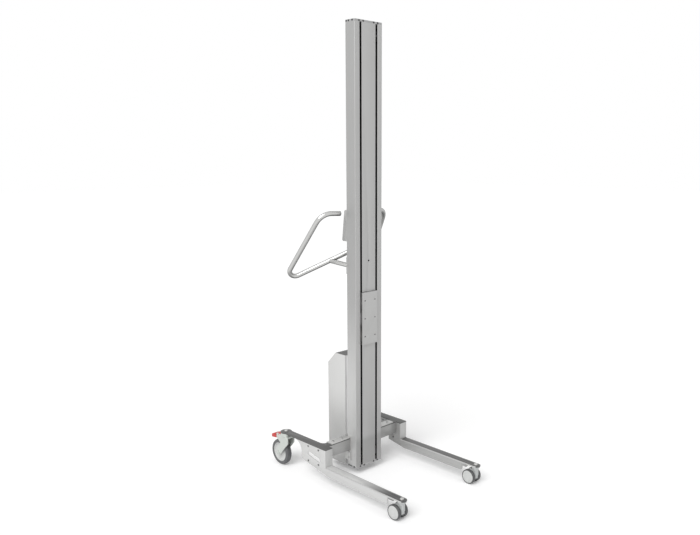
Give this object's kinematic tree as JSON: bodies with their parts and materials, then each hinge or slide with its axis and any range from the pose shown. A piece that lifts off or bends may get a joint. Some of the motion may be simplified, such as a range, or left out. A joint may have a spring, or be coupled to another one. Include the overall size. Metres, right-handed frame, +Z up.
{
  "type": "mini stacker",
  "caption": "Slim battery lifter: a tall mast with a sliding tool plate, two long legs, swivel casters, a bent tube handle and a rear drive housing.",
  "frame": {"origin": "middle of the bounding box in X and Y, on the floor", "axes": "+Z up the mast, the tool plate faces -Y, the operator stands at +Y, X across the legs"},
  "size_m": [0.615, 0.988, 2.2765],
  "materials": {
    "anodised": "satin anodised",
    "cap_metal": "satin",
    "screw_steel": "zinc plated",
    "frame_paint": "dark powder coat",
    "cover_paint": "fine-texture powder coat",
    "inlet_plastic": "matt",
    "cast_gearbox": "cast",
    "motor_paint": "satin black",
    "battery_plastic": "matt",
    "heat_sink": "satin",
    "belt_rubber": "matt",
    "bearing_steel": "ground",
    "shaft_steel": "ground",
    "pulley_alloy": "machined",
    "plate_alloy": "satin anodised",
    "web_steel": "satin",
    "pin_steel": "ground",
    "roller_plastic": "smooth",
    "clamp_alloy": "machined",
    "bracket_steel": "zinc plated",
    "leg_paint": "satin silver-grey",
    "plate_paint": "satin silver-grey",
    "spacer_steel": "turned",
    "handle_paint": "satin silver-grey",
    "cap_plastic": "matt",
    "box_plastic": "fine texture",
    "gauge_window": "glossy",
    "up_plastic": "glossy",
    "down_plastic": "glossy",
    "rocker_plastic": "glossy",
    "fork_zinc": "zinc coated",
    "core_plastic": "smooth",
    "tyre_rubber": "matt",
    "pedal_red": "satin",
    "hood_plastic": "smooth",
    "front_wheel": "smooth"
  },
  "bodies": {
    "chassis": {"mast_profile": "anodised", "mast_top_cap": "cap_metal", "mast_bottom_cap": "cap_metal", "small_screws": "screw_steel", "frame_bolts": "screw_steel", "drive_frame": "frame_paint", "housing_cover": "cover_paint", "charging_inlet": "inlet_plastic", "worm_gearbox": "cast_gearbox", "lift_motor": "motor_paint", "batteries": "battery_plastic", "motor_controller": "heat_sink", "drive_belts": "belt_rubber", "shaft_bearings": "bearing_steel", "idler_shaft": "shaft_steel", "left_leg": "leg_paint", "right_leg": "leg_paint", "left_top_plate": "plate_paint", "right_top_plate": "plate_paint", "left_toe_strip": "plate_paint", "right_toe_strip": "plate_paint", "left_cross_arm": "plate_paint", "right_cross_arm": "plate_paint", "left_arm_bracket": "bracket_steel", "right_arm_bracket": "bracket_steel", "leg_spacers": "spacer_steel", "caster_studs": "screw_steel", "handle_tube": "handle_paint", "handle_mount": "handle_paint", "handle_end_caps": "cap_plastic", "control_base": "box_plastic", "control_cover": "box_plastic", "battery_gauge": "gauge_window"},
    "carriage": {"carriage_plate": "plate_alloy", "carriage_webs": "web_steel", "roller_axles": "pin_steel", "belt_clamps": "clamp_alloy"},
    "upper_rollers": {"upper_rollers": "roller_plastic"},
    "lower_rollers": {"lower_rollers": "roller_plastic"},
    "drive_line": {"drive_shaft": "shaft_steel", "shaft_pulleys": "pulley_alloy"},
    "motor_pulley": {"motor_pulley": "pulley_alloy"},
    "idler_pulleys": {"idler_pulleys": "pulley_alloy"},
    "up_button": {"up_button": "up_plastic"},
    "down_button": {"down_button": "down_plastic"},
    "power_rocker": {"power_rocker": "rocker_plastic"},
    "rear_left_swivel": {"rear_left_fork": "fork_zinc"},
    "rear_left_wheel": {"rear_left_wheel_core": "core_plastic", "rear_left_tyre": "tyre_rubber"},
    "rear_left_pedal": {"rear_left_brake_pedal": "pedal_red"},
    "front_left_swivel": {"front_left_hood": "hood_plastic"},
    "front_left_outer_wheel": {"front_left_outer_wheel": "front_wheel"},
    "front_left_inner_wheel": {"front_left_inner_wheel": "front_wheel"},
    "rear_right_swivel": {"rear_right_fork": "fork_zinc"},
    "rear_right_wheel": {"rear_right_wheel_core": "core_plastic", "rear_right_tyre": "tyre_rubber"},
    "rear_right_pedal": {"rear_right_brake_pedal": "pedal_red"},
    "front_right_swivel": {"front_right_hood": "hood_plastic"},
    "front_right_outer_wheel": {"front_right_outer_wheel": "front_wheel"},
    "front_right_inner_wheel": {"front_right_inner_wheel": "front_wheel"}
  },
  "joints": [
    {"name": "lift", "type": "slide", "parent": "chassis", "child": "carriage", "axis": [0, 0, 1], "range_m": [-0.6, 1.2]},
    {"name": "upper_roller_spin", "type": "hinge", "parent": "carriage", "child": "upper_rollers", "pos_m": [0, 0.0595, 0.919], "axis": [1, 0, 0], "continuous": true},
    {"name": "lower_roller_spin", "type": "hinge", "parent": "carriage", "child": "lower_rollers", "pos_m": [0, 0.0595, 0.747], "axis": [1, 0, 0], "continuous": true},
    {"name": "drive_shaft_spin", "type": "hinge", "parent": "chassis", "child": "drive_line", "pos_m": [0, 0.0595, 0.084], "axis": [1, 0, 0], "continuous": true},
    {"name": "motor_pulley_spin", "type": "hinge", "parent": "chassis", "child": "motor_pulley", "pos_m": [0, 0.1515, 0.084], "axis": [1, 0, 0], "continuous": true},
    {"name": "idler_spin", "type": "hinge", "parent": "chassis", "child": "idler_pulleys", "pos_m": [0, 0.0595, 2.216], "axis": [1, 0, 0], "continuous": true},
    {"name": "up_button_press", "type": "slide", "parent": "chassis", "child": "up_button", "axis": [0, -0.9936, -0.1132], "range_m": [0, 0.003], "stiffness_N_per_m": 400, "springref_m": -0.003},
    {"name": "down_button_press", "type": "slide", "parent": "chassis", "child": "down_button", "axis": [0, -0.9936, -0.1132], "range_m": [0, 0.003], "stiffness_N_per_m": 400, "springref_m": -0.003},
    {"name": "power_rocker_tilt", "type": "hinge", "parent": "chassis", "child": "power_rocker", "pos_m": [-0.046, 0.13901, 1.30089], "axis": [1, 0, 0], "range_deg": [-6, 6]},
    {"name": "rear_left_swivel_turn", "type": "hinge", "parent": "chassis", "child": "rear_left_swivel", "pos_m": [-0.274, 0.382, 0.18], "axis": [0, 0, 1], "continuous": true},
    {"name": "rear_left_wheel_roll", "type": "hinge", "parent": "rear_left_swivel", "child": "rear_left_wheel", "pos_m": [-0.274, 0.424, 0.07], "axis": [1, 0, 0], "continuous": true},
    {"name": "rear_left_pedal_tread", "type": "hinge", "parent": "rear_left_swivel", "child": "rear_left_pedal", "pos_m": [-0.274, 0.422, 0.172], "axis": [1, 0, 0], "range_deg": [-12, 8]},
    {"name": "front_left_swivel_turn", "type": "hinge", "parent": "chassis", "child": "front_left_swivel", "pos_m": [-0.274, -0.47, 0.08], "axis": [0, 0, 1], "continuous": true},
    {"name": "front_left_outer_wheel_roll", "type": "hinge", "parent": "front_left_swivel", "child": "front_left_outer_wheel", "pos_m": [-0.296, -0.444, 0.0375], "axis": [1, 0, 0], "continuous": true},
    {"name": "front_left_inner_wheel_roll", "type": "hinge", "parent": "front_left_swivel", "child": "front_left_inner_wheel", "pos_m": [-0.252, -0.444, 0.0375], "axis": [1, 0, 0], "continuous": true},
    {"name": "rear_right_swivel_turn", "type": "hinge", "parent": "chassis", "child": "rear_right_swivel", "pos_m": [0.274, 0.382, 0.18], "axis": [0, 0, 1], "continuous": true},
    {"name": "rear_right_wheel_roll", "type": "hinge", "parent": "rear_right_swivel", "child": "rear_right_wheel", "pos_m": [0.274, 0.424, 0.07], "axis": [1, 0, 0], "continuous": true},
    {"name": "rear_right_pedal_tread", "type": "hinge", "parent": "rear_right_swivel", "child": "rear_right_pedal", "pos_m": [0.274, 0.422, 0.172], "axis": [1, 0, 0], "range_deg": [-12, 8]},
    {"name": "front_right_swivel_turn", "type": "hinge", "parent": "chassis", "child": "front_right_swivel", "pos_m": [0.274, -0.47, 0.08], "axis": [0, 0, 1], "continuous": true},
    {"name": "front_right_outer_wheel_roll", "type": "hinge", "parent": "front_right_swivel", "child": "front_right_outer_wheel", "pos_m": [0.296, -0.444, 0.0375], "axis": [1, 0, 0], "continuous": true},
    {"name": "front_right_inner_wheel_roll", "type": "hinge", "parent": "front_right_swivel", "child": "front_right_inner_wheel", "pos_m": [0.252, -0.444, 0.0375], "axis": [1, 0, 0], "continuous": true}
  ],
  "couplings": [
    {"joint": "upper_roller_spin", "follows": "lift", "rad_per_m": 38.462},
    {"joint": "lower_roller_spin", "follows": "lift", "rad_per_m": -38.462},
    {"joint": "drive_shaft_spin", "follows": "lift", "rad_per_m": -61.35},
    {"joint": "motor_pulley_spin", "follows": "lift", "rad_per_m": -61.35},
    {"joint": "idler_spin", "follows": "lift", "rad_per_m": -61.35}
  ]
}
